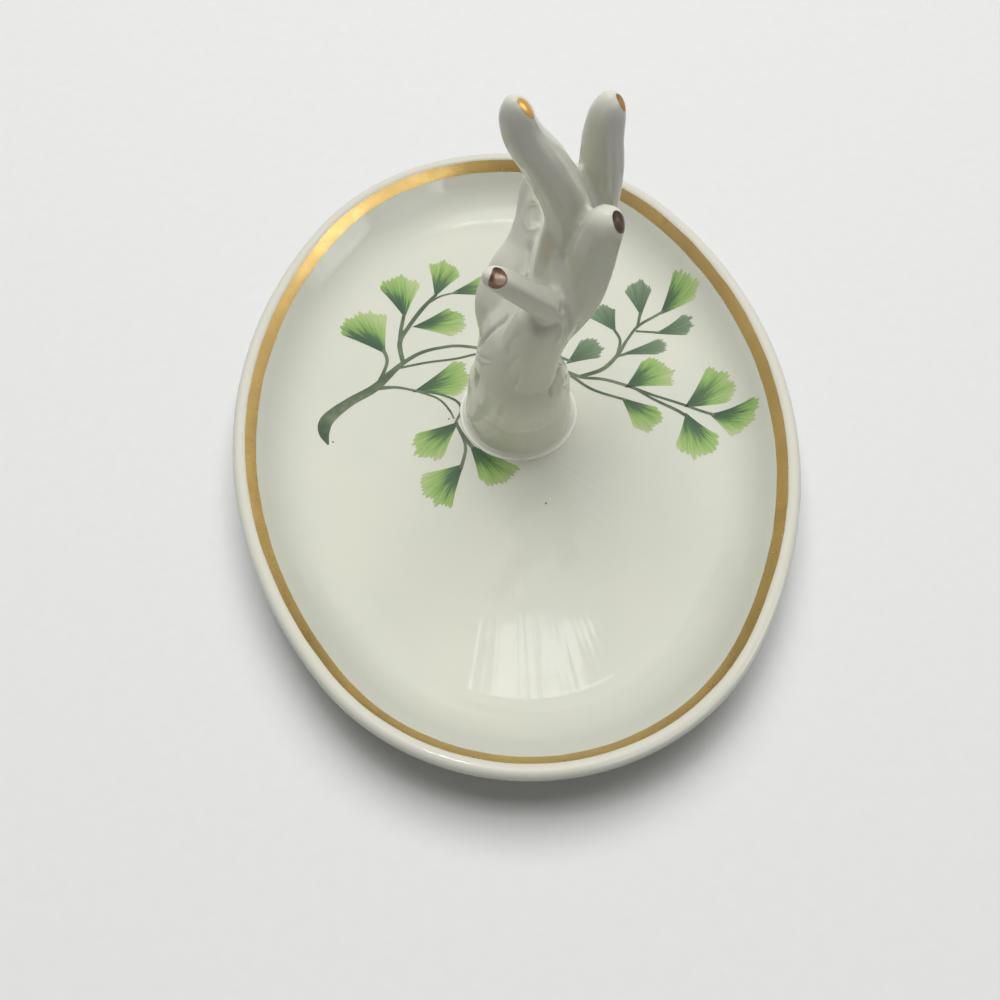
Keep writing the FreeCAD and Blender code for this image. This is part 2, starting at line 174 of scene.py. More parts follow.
# Creases of the hand, from the same point: path, half width and depth; a ridge has a negative depth.
CREASES = [
    ([(-8.0, 0.5, 8.0), (-7.0, -1.0, 12.5), (-4.0, -1.7, 17.0), (-2.5, -1.3, 19.0)], 0.45, 0.45),
    ([(4.0, -10.0, 29.5), (5.0, -9.5, 25.0), (4.3, -9.9, 21.0)], 0.45, -0.35),
    ([(5.6, -8.6, 29.5), (6.2, -8.0, 25.0), (6.0, -8.5, 22.0)], 0.60, 0.35),
    ([(7.0, -1.5, 4.7), (5.2, -6.6, 5.5), (4.5, -7.5, 1.9)], 0.45, 0.40),
    ([(-6.3, -7.0, -1.8), (-3.9, -8.7, -0.9), (-1.2, -9.5, -1.2), (1.8, -9.4, -2.0), (5.0, -7.8, -3.0)],
     0.45, -0.10),
    ([(-7.7, -1.7, 8.3), (-6.8, -3.6, 10.0), (-6.0, -4.7, 11.2)], 0.35, 0.22),
    ([(-1.3, -9.0, 18.3), (-2.5, -8.0, 14.4), (-4.1, -7.1, 10.6)], 0.45, 0.16),
    ([(-1.6, -7.8, 22.5), (-3.1, -6.8, 17.3), (-3.6, -6.6, 14.6)], 0.45, 0.16),
    ([(2.6, 7.5, 28.0), (1.4, 4.2, 24.2), (0.9, 2.7, 23.4)], 0.45, -0.40),
    ([(1.6, 7.6, 26.8), (0.4, 5.0, 24.4), (0.0, 3.4, 23.6)], 0.50, 0.35),
    ([(2.0, 10.4, 32.0), (2.2, 9.6, 30.2), (2.4, 9.0, 29.2)], 0.75, 0.25),
    ([(1.8, 11.0, 34.1), (1.4, 10.5, 31.5), (1.0, 9.8, 29.6), (1.0, 8.8, 28.2)], 0.34, -0.24),
    ([(1.0, 8.8, 28.2), (2.1, 8.5, 28.4), (2.9, 8.4, 28.7), (3.6, 8.3, 29.2)], 0.34, -0.22),
    ([(2.0, 10.8, 33.3), (2.7, 10.5, 32.2), (3.2, 10.1, 31.2), (3.6, 9.6, 30.6)], 0.40, -0.16),
    ([(5.3, -8.9, 28.6), (5.3, -8.9, 28.0)], 0.70, 0.45),
    ([(0.1, -1.4, 59.0), (2.1, -1.1, 55.0), (4.2, -1.5, 51.6), (6.4, -1.6, 47.4)], 0.70, 0.16),
    ([(3.2, -0.4, 54.2), (4.9, -0.6, 51.4), (6.6, -0.7, 48.4), (8.2, -0.8, 45.2)], 0.45, 0.12),
    ([(10.9, 2.4, 53.6), (11.3, 2.1, 50.2), (11.7, 2.1, 45.4), (12.0, 2.3, 40.1)], 0.50, 0.12),
    ([(11.9, 2.6, 54.8), (12.4, 2.4, 50.7), (12.9, 2.4, 45.9), (13.3, 2.7, 40.0)], 0.40, 0.10),
    ([(13.2, 3.2, 53.4), (13.8, 3.2, 49.0), (14.2, 3.5, 44.0), (14.5, 3.8, 40.0)], 0.45, 0.12),
]
CREASE_FADE = 5.0
CREASE_REACH = 3
POOL_WIDTH = 0.65

# Fern sprays, in millimetres from the middle of the dish: each stem's path and its width along it.
STEMS = {
    "left": [
        ([(-35.5, 1), (-36.3, 4), (-35.5, 7), (-31.5, 10.5), (-26.5, 13.5), (-23, 17)],
         [0.3, 2.2, 2.7, 2.1, 1.9, 1.5]),
        ([(-23, 17), (-20.5, 19.3), (-17, 21.5), (-13, 22.5), (-8, 22.5), (2, 19.5), (9.5, 15.8)],
         [1.4, 1.0, 0.8, 0.7, 0.7, 0.7, 0.8]),
        ([(-20.5, 19), (-21, 24.5), (-19, 28.5), (-16, 33), (-13, 36.5)], [0.9, 1.0, 0.9, 0.9, 0.7]),
        ([(-14.5, 34.5), (-12, 36), (-8.5, 36.8)], [0.5, 0.4, 0.4]),
        ([(-21, 24.5), (-20.6, 28), (-19.8, 32)], [0.9, 0.8, 0.7]),
        ([(-26, 13.8), (-24.2, 18), (-23.7, 20.5), (-24.4, 23)], [0.8, 0.7, 0.7, 0.8]),
        ([(-22, 18), (-16, 19), (-10, 19.5), (-6, 20.3), (-1.5, 20.8)], [0.5, 0.5, 0.5, 0.5, 0.5]),
        ([(-26, 13.5), (-22, 13.4), (-18, 12.2), (-14, 11.2), (-10.6, 9.3), (-9.7, 7), (-11, 4)],
         [1.0, 0.6, 0.5, 0.5, 0.5, 0.5, 0.5]),
        ([(-18, 12.2), (-14, 10), (-12, 7.2), (-11.2, 5)], [0.5, 0.4, 0.4, 0.3]),
        ([(-10.8, 3.8), (-9.4, -1.5), (-10.6, -6.5)], [0.5, 0.6, 0.7]),
        ([(-10.8, 3.8), (-9.8, 1.2), (-8, -2)], [0.6, 0.8, 0.8]),
    ],
    "right": [
        ([(9, 16), (12.5, 14), (15, 12.8), (19, 12), (23.5, 10), (28, 7.5), (34, 4.5), (39.2, 1.5)],
         [1.0, 0.9, 0.7, 0.7, 0.7, 0.6, 0.6, 0.6]),
        ([(14, 13), (19, 14.5), (22.5, 17.8), (25, 21.5), (28, 25), (33.4, 28)],
         [0.8, 0.9, 0.8, 0.6, 0.6, 0.6]),
        ([(12.5, 13.5), (16.5, 9.7), (22.6, 6.7)], [0.7, 0.6, 0.6]),
        ([(24.5, 9.5), (28, 6.5), (32, 3.6), (34, 1.8)], [0.5, 0.6, 0.7, 0.7]),
        ([(11, 18.2), (13, 16.9)], [0.6, 0.6]),
        ([(22.5, 17.8), (23.5, 21.5), (22.5, 24.7)], [0.7, 0.6, 0.6]),
        ([(27.5, 24.5), (28.7, 28.4)], [0.6, 0.6]),
        ([(27, 23.5), (32, 22.7)], [0.5, 0.5]),
        ([(22.2, 17.4), (24.5, 18)], [0.6, 0.6]),
    ],
}

# Fan leaves: foot, heading in degrees, length, half spread in degrees, side of the longest stroke from -1 to
# 1, how far the dark wash leans to one side, and whether the leaf is washed grey-green all over.
LEAVES = {
    "left": [
        (-24.3, 22.5, 117, 12.5, 31, 0.2, -0.40, 0), (-19.8, 31.5, 94, 11.8, 27, 0.1, -0.32, 0),
        (-13.1, 36.5, 69, 10.3, 26, 0.2, 0.0, 0), (-9.5, 36.6, 12, 11.0, 21, 0.0, 0.0, 0),
        (-17.6, 28.4, 4, 11.4, 26, 0.0, -0.28, 0), (-18.3, 12.2, 14, 12.3, 25, 0.4, -0.10, 0),
        (-10.9, 3.8, 220, 11.2, 27, 0.0, 0.10, 0), (-10.4, -5.8, 222, 10.5, 31, 0.3, -0.20, 0),
        (-8.3, -1.5, 303, 11.5, 24, 0.4, 0.0, 0),
    ],
    "right": [
        (12.5, 16.8, 33, 8.8, 25, 0.0, 0.0, 1), (22.7, 24.3, 112, 7.6, 29, 0.2, 0.1, 1),
        (28.7, 27.9, 87, 9.4, 23, 0.0, 0.0, 1), (33.0, 27.6, 38, 9.8, 28, 0.5, -0.25, 0),
        (31.4, 22.7, 8, 8.0, 21, 0.2, 0.0, 1), (23.5, 17.9, 9, 10.2, 13, 0.2, 0.0, 1),
        (23.5, 10.0, 27, 10.7, 29, -0.3, -0.20, 0), (22.2, 6.9, -51, 9.9, 28, 0.0, -0.20, 0),
        (34.4, 4.4, 26, 11.1, 30, 0.2, -0.10, 0), (33.9, 2.1, -81, 10.7, 33, 0.0, -0.15, 0),
        (38.8, 1.6, -30, 8.6, 34, 0.3, -0.30, 0),
    ],
}
# Kiln specks on the floor of the dish
SPECKS = [(-34.6, 1.6, FLOOR_HEIGHT), (4.6, -15.2, FLOOR_HEIGHT), (-12.2, 5.1, FLOOR_HEIGHT)]
SPECK_CORE = 0.14
SPECK_EDGE = 0.24
# Painted shapes are drawn above the dish and laid down on it, each stem a little higher than the one before
PAINT_HEIGHT = 2 * RIM_HEIGHT
STEM_STEPS = 8
LEAF_COLUMNS = 44
LEAF_ROWS = 14
LEAF_OVERLAP = 0.7
LEAF_SEED = 11
# Edge of a leaf, as shares of its length: lobes, rag, uneven strokes, the bow of each one and the round-off
LOBE_COUNTS = (2.2, 3.2)
LOBE_DEPTH = 0.02
RAG_DEPTH = 0.02
STROKE_DEPTH = 0.07
STROKE_COUNTS = (9, 13)
BOW_DEPTH = 0.06
ROUND_OFF = 0.22
EDGE_POWER = 6
FAN_START = 0.85
LEAF_SPACING = 3
ENAMEL_LIFT = 0.01
ENAMEL_STEP = 0.003
ENAMEL_THICKNESS = 0.03

# Glaze, enamel and gold; a noise mostly lies within its span
NOISE_SPAN = (0.3, 0.7)
CLOUD_SCALE = 45.0
SPECK_SCALE = 130.0
SPECK_CHANCE = (0.965, 0.97)
SPECK_SPREAD = (0.02, 0.035)
BARE_BELOW = (0.0003, 0.0006)
GLAZE_SHEEN_SCALE = 160.0
GLAZE_SHEEN = (0.04, 0.08)
POOL_SPAN = (0.06, 0.40)
POOL_SHARE = 0.4
GOLD_TONE_SCALE = 90.0
GOLD_WEAR_SCALE = 260.0
GOLD_WEAR_SPAN = 0.2
GOLD_RUB_SCALE = 900.0
GOLD_RUBBED = (0.85, 1.05)
THIN_GOLD_METAL = 0.55
GOLD_SHEEN_SCALE = 300.0
GOLD_SHEEN = (0.24, 0.36)
GOLD_STROKE_SCALE = 700.0
GOLD_STROKE_STRENGTH = 0.12
GOLD_STROKE_DEPTH = 0.00003
BROAD_STROKES = (7.0, 0.8, 1.0)
FINE_STROKES = (38.0, 2.2, 1.0)
BRISTLE_STRENGTH = 0.2
BRISTLE_DEPTH = 0.00005
STEM_WASH_SCALE = 170.0
GLAZE_IOR = 1.6
ENAMEL_IOR = 1.52
ENAMEL_SHEEN = (0.10, 0.20)
TRANSLUCENCY = 0.06
TRANSLUCENT_REACH = (0.0012, 0.0010, 0.0007)
RIPPLE_STRENGTH = 0.16
RIPPLE_DEPTH = 0.0002
RAY_COUNT = 19.0
RAY_REACH = 12.0
# Darker green where glaze pools in a crease, which also paints the shade in it
POOLED_GREEN_SHADE = (0.40, 0.42, 0.33)
SPECK_BROWN = (0.16, 0.13, 0.10)
BARE_BODY = (0.60, 0.58, 0.52)
# Painted light: pale glaze for the lit hollow beside the thumb
PAINTED_LIGHT_PALE = (0.92, 0.915, 0.82)
# Tints by height: where it starts and where it is full, in metres, its share and its colour
# Painted shade: the glaze greyer on the dish's sloping walls, which take less light than the floor
PAINTED_SHADE_SLOPE = (0.0060, 0.0090, 0.8, (0.59, 0.60, 0.52))
WARM_LIP = (0.0126, 0.0138, 0.8, (0.73, 0.712, 0.615))
WARM_TIPS = (0.0803, 0.0815, 0.7, (0.72, 0.685, 0.60))
# Painted light: the cuff paler towards the floor, for the light the dish's floor throws up onto it
PAINTED_BOUNCE_CUFF = (0.0230, 0.0170, 0.9, (0.90, 0.895, 0.80))
# Painted light beside the thumb, a pale spot for the light that falls in the hollow there: its middle, where
# it is full and where it ends
THUMB_HOLLOW_LIGHT = (WRIST + Vector((2.4, 8.6, 29.5)), 2.0, 6.5)


def node(tree, kind, values=None, **settings):
    """A shader node with its settings and the values of its sockets."""
    made = tree.nodes.new(kind)
    for name, value in settings.items():
        setattr(made, name, value)
    for name, value in (values or {}).items():
        if isinstance(value, bpy.types.NodeSocket):
            tree.links.new(value, made.inputs[name])
        else:
            made.inputs[name].default_value = value
    return made


def maths(tree, operation, *values):
    """A number worked out from numbers."""
    return node(tree, "ShaderNodeMath", dict(enumerate(values)), operation=operation).outputs["Value"]


def vector_maths(tree, operation, *values):
    """A vector worked out from vectors."""
    return node(tree, "ShaderNodeVectorMath", dict(enumerate(values)), operation=operation).outputs["Vector"]


def measure(tree, operation, *values):
    """A number, such as a length or a distance, worked out from vectors."""
    return node(tree, "ShaderNodeVectorMath", dict(enumerate(values)), operation=operation).outputs["Value"]


def new_material(name):
    """A new material, its tree and its Principled shader."""
    material = bpy.data.materials.new(name)
    material.use_nodes = True
    tree = material.node_tree
    return material, tree, tree.nodes["Principled BSDF"]


def ramp(tree, factor, stops):
    """A colour ramp with the given places and colours."""
    made = node(tree, "ShaderNodeValToRGB", {"Fac": factor})
    bar = made.color_ramp
    while len(bar.elements) < len(stops):
        bar.elements.new(0.5)
    for element, (place, colour) in zip(bar.elements, stops):
        element.position = place
        element.color = (*colour, 1)
    return made.outputs["Color"]


def blend_colours(tree, factor, first, second):
    """The first colour, running into the second as the factor goes from 0 to 1."""
    made = node(tree, "ShaderNodeMix", data_type="RGBA")
    for index, value in ((0, factor), (6, first), (7, second)):
        if isinstance(value, bpy.types.NodeSocket):
            tree.links.new(value, made.inputs[index])
        else:
            made.inputs[index].default_value = value if index == 0 else (*value, 1)
    return made.outputs[2]


def grain(tree, place, scale, detail=3.0, roughness=0.5):
    """Noise at a scale in cycles per metre of the surface's own coordinates."""
    made = node(tree, "ShaderNodeTexNoise",
                {"Vector": place, "Scale": scale, "Detail": detail, "Roughness": roughness})
    return made.outputs["Fac"]


def between(tree, value, low, high, start=0.0, end=1.0):
    """A level that goes from start to end as a value goes from low to high."""
    made = node(tree, "ShaderNodeMapRange",
                {"Value": value, "From Min": low, "From Max": high, "To Min": start, "To Max": end})
    return made.outputs["Result"]


def in_rays(tree, place, count, reach):
    """Coordinates for a grain that runs outwards from the middle of the dish in rays."""
    flat = vector_maths(tree, "MULTIPLY", place, (1, 1, 0))
    way = vector_maths(tree, "NORMALIZE", flat)
    turn = node(tree, "ShaderNodeVectorMath", {0: way, "Scale": count}, operation="SCALE").outputs["Vector"]
    out = maths(tree, "MULTIPLY", measure(tree, "LENGTH", flat), reach)
    rise = node(tree, "ShaderNodeCombineXYZ", {"Z": out}).outputs["Vector"]
    return vector_maths(tree, "ADD", turn, rise)


def porcelain_glaze(name, body, shade, tints, ripples, rays=0.0, lit_spots=()):
    """White porcelain under a clear glaze: faint clouding, a gently uneven surface and rare dark specks.

    The glaze is tinted by height, paler in spots of painted light and darker green where it pools in a
    crease, which also paints the shade in the crease. Its surface has ripples of a given scale and, where
    rays is given, a share of rays from the middle of the dish.
    """
    material, tree, shader = new_material(name)
    place = node(tree, "ShaderNodeTexCoord").outputs["Object"]
    cloud = between(tree, grain(tree, place, CLOUD_SCALE), *NOISE_SPAN)
    colour = blend_colours(tree, cloud, body, shade)
    height = node(tree, "ShaderNodeSeparateXYZ", {"Vector": place}).outputs["Z"]
    # Tints by height, among them painted shade on the dish's walls and painted light low on the hand's cuff
    for start, full, share, tint in tints:
        colour = blend_colours(tree, between(tree, height, start, full, 0.0, share), colour, tint)
    # Painted light: pale spots where light falls in a hollow
    for spot, full, end in lit_spots:
        away = measure(tree, "DISTANCE", place, spot * METRES)
        colour = blend_colours(tree, between(tree, away, full * METRES, end * METRES, 1.0, 0.0), colour, PAINTED_LIGHT_PALE)
    # Darker green in narrow creases: pooled glaze, and painted shade as well
    pool = node(tree, "ShaderNodeAttribute", attribute_name="pool").outputs["Fac"]
    colour = blend_colours(tree, between(tree, pool, *POOL_SPAN, 0.0, POOL_SHARE), colour, POOLED_GREEN_SHADE)
    speck = node(tree, "ShaderNodeTexVoronoi", {"Vector": place, "Scale": SPECK_SCALE, "Randomness": 1.0})
    chance = node(tree, "ShaderNodeSeparateColor", {"Color": speck.outputs["Color"]}).outputs["Red"]
    rare = between(tree, chance, *SPECK_CHANCE)
    close = between(tree, speck.outputs["Distance"], *SPECK_SPREAD, 1.0, 0.0)
    dotted = maths(tree, "MULTIPLY", rare, close)
    for spot in SPECKS:
        away = measure(tree, "DISTANCE", place, Vector(spot) * METRES)
        dot = between(tree, away, SPECK_CORE * METRES, SPECK_EDGE * METRES, 1.0, 0.0)
        dotted = maths(tree, "MAXIMUM", dotted, dot)
    colour = blend_colours(tree, dotted, colour, SPECK_BROWN)
    foot = between(tree, height, *BARE_BELOW, 1.0, 0.0)
    colour = blend_colours(tree, foot, colour, BARE_BODY)
    sheen = between(tree, grain(tree, place, GLAZE_SHEEN_SCALE), *NOISE_SPAN, *GLAZE_SHEEN)
    tree.links.new(colour, shader.inputs["Base Color"])
    tree.links.new(maths(tree, "MAXIMUM", sheen, foot), shader.inputs["Roughness"])
    uneven = grain(tree, place, ripples, detail=1.0)
    if rays:
        drawn = grain(tree, in_rays(tree, place, RAY_COUNT, RAY_REACH), 1.0, detail=1.0)
        uneven = maths(tree, "MULTIPLY_ADD", drawn, rays, uneven)
    bump = node(tree, "ShaderNodeBump",
                {"Height": uneven, "Strength": RIPPLE_STRENGTH, "Distance": RIPPLE_DEPTH})
    tree.links.new(bump.outputs["Normal"], shader.inputs["Normal"])
    shader.inputs["IOR"].default_value = GLAZE_IOR
    shader.inputs["Subsurface Weight"].default_value = TRANSLUCENCY
    shader.inputs["Subsurface Radius"].default_value = TRANSLUCENT_REACH
    shader.inputs["Subsurface Scale"].default_value = 1.0  # the reach is given in metres
    return material


def fired_gold(name, bright, dull, brown, wear, bare=None):
    """Fired gold, brushed on by hand: thin and brown in places, or rubbed to a bare colour in the middle."""
    material, tree, shader = new_material(name)
    place = node(tree, "ShaderNodeTexCoord").outputs["Object"]
    tone = between(tree, grain(tree, place, GOLD_TONE_SCALE), *NOISE_SPAN)
    colour = blend_colours(tree, tone, bright, dull)
    thin = between(tree, grain(tree, place, GOLD_WEAR_SCALE, detail=4.0), wear, wear + GOLD_WEAR_SPAN)
    colour = blend_colours(tree, thin, colour, brown)
    if bare:
        middle = node(tree, "ShaderNodeAttribute", attribute_name="middle").outputs["Fac"]
        patchy = maths(tree, "ADD", middle, grain(tree, place, GOLD_RUB_SCALE))
        rubbed = between(tree, patchy, *GOLD_RUBBED)
        colour = blend_colours(tree, rubbed, colour, bare)
        thin = maths(tree, "MAXIMUM", thin, rubbed)
    tree.links.new(colour, shader.inputs["Base Color"])
    tree.links.new(between(tree, thin, 0.0, 1.0, 1.0, THIN_GOLD_METAL), shader.inputs["Metallic"])
    rough = between(tree, grain(tree, place, GOLD_SHEEN_SCALE), *NOISE_SPAN, *GOLD_SHEEN)
    tree.links.new(rough, shader.inputs["Roughness"])
    stroke = grain(tree, place, GOLD_STROKE_SCALE)
    bump = node(tree, "ShaderNodeBump",
                {"Height": stroke, "Strength": GOLD_STROKE_STRENGTH, "Distance": GOLD_STROKE_DEPTH})
    tree.links.new(bump.outputs["Normal"], shader.inputs["Normal"])
    return material


def leaf_enamel(name, stops, wash, streaks):
    """Brushed enamel on a leaf: a dark wash at its foot that breaks into streaks, and a pale brushed tip."""
    material, tree, shader = new_material(name)
    place = node(tree, "ShaderNodeUVMap", uv_map="leaf").outputs["UV"]
    along = node(tree, "ShaderNodeSeparateXYZ", {"Vector": place}).outputs["Y"]
    broad = node(tree, "ShaderNodeMapping", {"Vector": place, "Scale": BROAD_STROKES}).outputs["Vector"]
    fine = node(tree, "ShaderNodeMapping", {"Vector": place, "Scale": FINE_STROKES}).outputs["Vector"]
    stroke = grain(tree, broad, 1.0, detail=1.0)
    bristle = grain(tree, fine, 1.0, detail=3.0, roughness=0.6)
    lean = node(tree, "ShaderNodeAttribute", attribute_name="lean").outputs["Fac"]
    edge = along
    for part in (lean, between(tree, stroke, *NOISE_SPAN, -streaks / 2, streaks / 2),
                 between(tree, bristle, 0.35, 0.65, -streaks, streaks)):
        edge = maths(tree, "ADD", edge, part)
    colour = ramp(tree, between(tree, edge, wash - 0.4, wash + 0.6), stops)
    tree.links.new(colour, shader.inputs["Base Color"])
    bump = node(tree, "ShaderNodeBump",
                {"Height": bristle, "Strength": BRISTLE_STRENGTH, "Distance": BRISTLE_DEPTH})
    tree.links.new(bump.outputs["Normal"], shader.inputs["Normal"])
    tree.links.new(between(tree, bristle, 0.2, 0.8, *ENAMEL_SHEEN), shader.inputs["Roughness"])
    shader.inputs["IOR"].default_value = ENAMEL_IOR
    return material


def stem_enamel(name):
    """Grey-green enamel, watery where the brush lifted."""
    material, tree, shader = new_material(name)
    place = node(tree, "ShaderNodeTexCoord").outputs["Object"]
    wash = grain(tree, place, STEM_WASH_SCALE, detail=4.0)
    colour = ramp(tree, wash, [(0.30, (0.055, 0.092, 0.048)), (0.50, (0.113, 0.155, 0.088)),
                               (0.70, (0.220, 0.250, 0.160))])
    tree.links.new(colour, shader.inputs["Base Color"])
    tree.links.new(between(tree, wash, 0.2, 0.8, *ENAMEL_SHEEN), shader.inputs["Roughness"])
    shader.inputs["IOR"].default_value = ENAMEL_IOR
    return material


def seen_or_mirrored(tree):
    """1 for what the camera sees, by itself or in a reflection, and 0 for the light that falls on things."""
    path = node(tree, "ShaderNodeLightPath").outputs
    shown = path["Is Camera Ray"]
    for ray in ("Is Glossy Ray", "Is Transmission Ray"):
        shown = maths(tree, "MAXIMUM", shown, path[ray])
    return shown


# Tone of the studio, how bright it looks, and how far from the dish the table runs into it, in metres
STUDIO_TINT = (0.98, 0.99, 0.97)
SEEN_LEVEL = 0.80
TABLE_FADE = (0.20, 0.55)
TABLE_TONES = ((0.80, 0.80, 0.79), (0.84, 0.84, 0.83))
TABLE_BOUNCE = (0.50, 0.50, 0.50)
TABLE_GRAIN = 400.0
TABLE_ROUGHNESS = 0.8
TABLE_SPECULAR = 0.5
BLACK = (0.0, 0.0, 0.0)


def backdrop_material():
    """Pale table, which throws some light up at the object, and far off has the tone of the studio."""
    material, tree, shader = new_material("pale_table")
    place = node(tree, "ShaderNodeTexCoord").outputs["Object"]
    colour = blend_colours(tree, grain(tree, place, TABLE_GRAIN), *TABLE_TONES)
    shown = seen_or_mirrored(tree)
    colour = blend_colours(tree, shown, TABLE_BOUNCE, colour)
    fade = between(tree, measure(tree, "LENGTH", place), *TABLE_FADE)
    far = maths(tree, "MULTIPLY", fade, shown)
    tree.links.new(blend_colours(tree, far, colour, BLACK), shader.inputs["Base Color"])
    tree.links.new(far, shader.inputs["Emission Strength"])
    tree.links.new(between(tree, far, 0.0, 1.0, TABLE_SPECULAR, 0.0), shader.inputs["Specular IOR Level"])
    shader.inputs["Emission Color"].default_value = (*(SEEN_LEVEL * part for part in STUDIO_TINT), 1)
    shader.inputs["Roughness"].default_value = TABLE_ROUGHNESS
    return material


dish_glaze = porcelain_glaze("dish_glaze", (0.70, 0.705, 0.60), (0.66, 0.675, 0.585),
                             tints=[PAINTED_SHADE_SLOPE, WARM_LIP], ripples=140.0, rays=1.2)
hand_glaze = porcelain_glaze("hand_glaze", (0.74, 0.735, 0.63), (0.68, 0.68, 0.59),
                             tints=[WARM_TIPS, PAINTED_BOUNCE_CUFF], ripples=240.0, lit_spots=[THUMB_HOLLOW_LIGHT])
band_gold = fired_gold("band_gold", (0.73, 0.50, 0.18), (0.60, 0.41, 0.155), (0.40, 0.27, 0.11), 0.62)
nail_gold = fired_gold("nail_gold", (0.85, 0.50, 0.11), (0.62, 0.35, 0.09), (0.30, 0.15, 0.06), 0.60)
# Painted reflection: the ring nail's gold nearly black, for the dark room it mirrors
dark_reflection_gold = fired_gold("dark_reflection_gold", (0.10, 0.06, 0.04), (0.06, 0.04, 0.03), (0.22, 0.14, 0.10), 0.60)
# Brown little nail rubbed pale in the middle: partly wear and partly a painted dark reflection
worn_dark_reflection_gold = fired_gold("worn_dark_reflection_gold", (0.24, 0.14, 0.09), (0.16, 0.09, 0.06), (0.30, 0.19, 0.13), 0.58,
                       bare=(0.44, 0.32, 0.25))
# Painted reflection: the index nail's gold browner, for the dark room it mirrors
brown_reflection_gold = fired_gold("brown_reflection_gold", (0.52, 0.28, 0.07), (0.34, 0.18, 0.06), (0.20, 0.10, 0.04), 0.55)
NAIL_FINISH = {"thumb": nail_gold, "index": brown_reflection_gold, "middle": nail_gold,
               "ring": dark_reflection_gold, "little": worn_dark_reflection_gold}
green_leaf = leaf_enamel("green_leaf", [
    (0.0, (0.045, 0.095, 0.050)), (0.34, (0.075, 0.150, 0.065)), (0.46, (0.20, 0.33, 0.095)),
    (0.66, (0.29, 0.45, 0.130)), (0.86, (0.37, 0.49, 0.19)), (1.0, (0.46, 0.54, 0.26))], 0.47, 0.16)
grey_leaf = leaf_enamel("grey_leaf", [
    (0.0, (0.060, 0.105, 0.060)), (0.4, (0.100, 0.160, 0.090)), (0.75, (0.150, 0.225, 0.130)),
    (1.0, (0.25, 0.33, 0.21))], 0.45, 0.16)
stem_green = stem_enamel("stem_green_enamel")


def place_piece(bm, name, nodes, materials):
    """Makes a finished piece of a bmesh in millimetres, and puts it in the frame for its nodes."""
    bmesh.ops.scale(bm, vec=(METRES,) * 3, verts=bm.verts)
    for face in bm.faces:
        face.smooth = True
    for edge in bm.edges:
        edge.smooth = edge.calc_face_angle(0.0) < SHARP_ANGLE
    mesh = bpy.data.meshes.new(name)
    bm.to_mesh(mesh)
    bm.free()
    for material in materials:
        mesh.materials.append(material)
    piece = bpy.data.objects.new(name, mesh)
    bpy.context.scene.collection.objects.link(piece)
    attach(piece, "root")
    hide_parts(*nodes)


def arc_points(centre, radius, start, end, steps):
    """Points of an arc in the dish's cross-section, angles in degrees."""
    turns = [math.radians(start + (end - start) * i / steps) for i in range(steps + 1)]
    return [(centre[0] + radius * math.cos(t), centre[1] + radius * math.sin(t)) for t in turns]


def wall_face():
    """The sloping side in cross-section: lip centre, top of the slope, cove centre and the way down."""
    slope = math.radians(WALL_SLOPE)
    inward = Vector((math.sin(slope), math.cos(slope)))
    down = Vector((math.cos(slope), -math.sin(slope)))
    lip_radius = WALL / 2
    lip_centre = Vector((lip_radius, RIM_HEIGHT - lip_radius))
    top = lip_centre + inward * lip_radius
    straight = (top.y - FLOOR_HEIGHT - COVE_RADIUS * (1 - math.cos(slope))) / math.sin(slope)
    cove_centre = top + down * straight + inward * COVE_RADIUS
    return lip_centre, top, cove_centre, down


def dish_section():
    """The dish's cross-section from the floor, over the lip and under the foot, as insets and heights."""
    lip_centre, _, cove_centre, _ = wall_face()
    turn = -90 - WALL_SLOPE
    inside = arc_points(cove_centre, COVE_RADIUS, -90, turn, COVE_STEPS)
    lip = arc_points(lip_centre, WALL / 2, 90 - WALL_SLOPE, 270 - WALL_SLOPE, LIP_STEPS)
    outside = arc_points(cove_centre, COVE_RADIUS + WALL, turn, -90, COVE_STEPS)
    foot_start = cove_centre.x + FOOT_SETBACK
    foot_end = foot_start + FOOT_WIDTH
    outer_centre = (foot_start + FOOT_ROUNDING, FOOT_ROUNDING)
    inner_centre = (foot_end - FOOT_ROUNDING, FOOT_ROUNDING)
    outer_edge = arc_points(outer_centre, FOOT_ROUNDING, 180, 270, FOOT_STEPS)
    inner_edge = arc_points(inner_centre, FOOT_ROUNDING, 270, 360, FOOT_STEPS)
    return ([(foot_end, FLOOR_HEIGHT)] + inside + lip + outside + [(foot_start, FOOT_HEIGHT)]
            + outer_edge + inner_edge + [(foot_end, FOOT_HEIGHT)])


def oval_spin(bm, section, closed):
    """Spins a cross-section of insets and heights round the four arcs of the oval."""
    for half_turn in (0, 180):
        for centre, radius, start, sweep, steps in (
                (Vector((-SIDE_CENTRE, 0, 0)), SIDE_RADIUS, -JOIN_ANGLE, 2 * JOIN_ANGLE, SIDE_STEPS),
                (Vector((0, END_CENTRE, 0)), END_RADIUS, JOIN_ANGLE, 180 - 2 * JOIN_ANGLE, END_STEPS)):
            turned = Matrix.Rotation(math.radians(half_turn), 3, "Z")
            aim = turned @ Vector((math.cos(math.radians(start)), math.sin(math.radians(start)), 0))
            about = turned @ centre
            verts = [bm.verts.new(about + aim * (radius - inset) + UP * height) for inset, height in section]
            ends = verts + verts[:1] if closed else verts
            edges = [bm.edges.new(pair) for pair in zip(ends, ends[1:])]
            bmesh.ops.spin(bm, geom=verts + edges, cent=about, axis=UP, angle=math.radians(sweep),
                           steps=steps, use_merge=False, use_duplicate=False)
    bmesh.ops.remove_doubles(bm, verts=bm.verts, dist=WELD)
    bmesh.ops.recalc_face_normals(bm, faces=bm.faces)


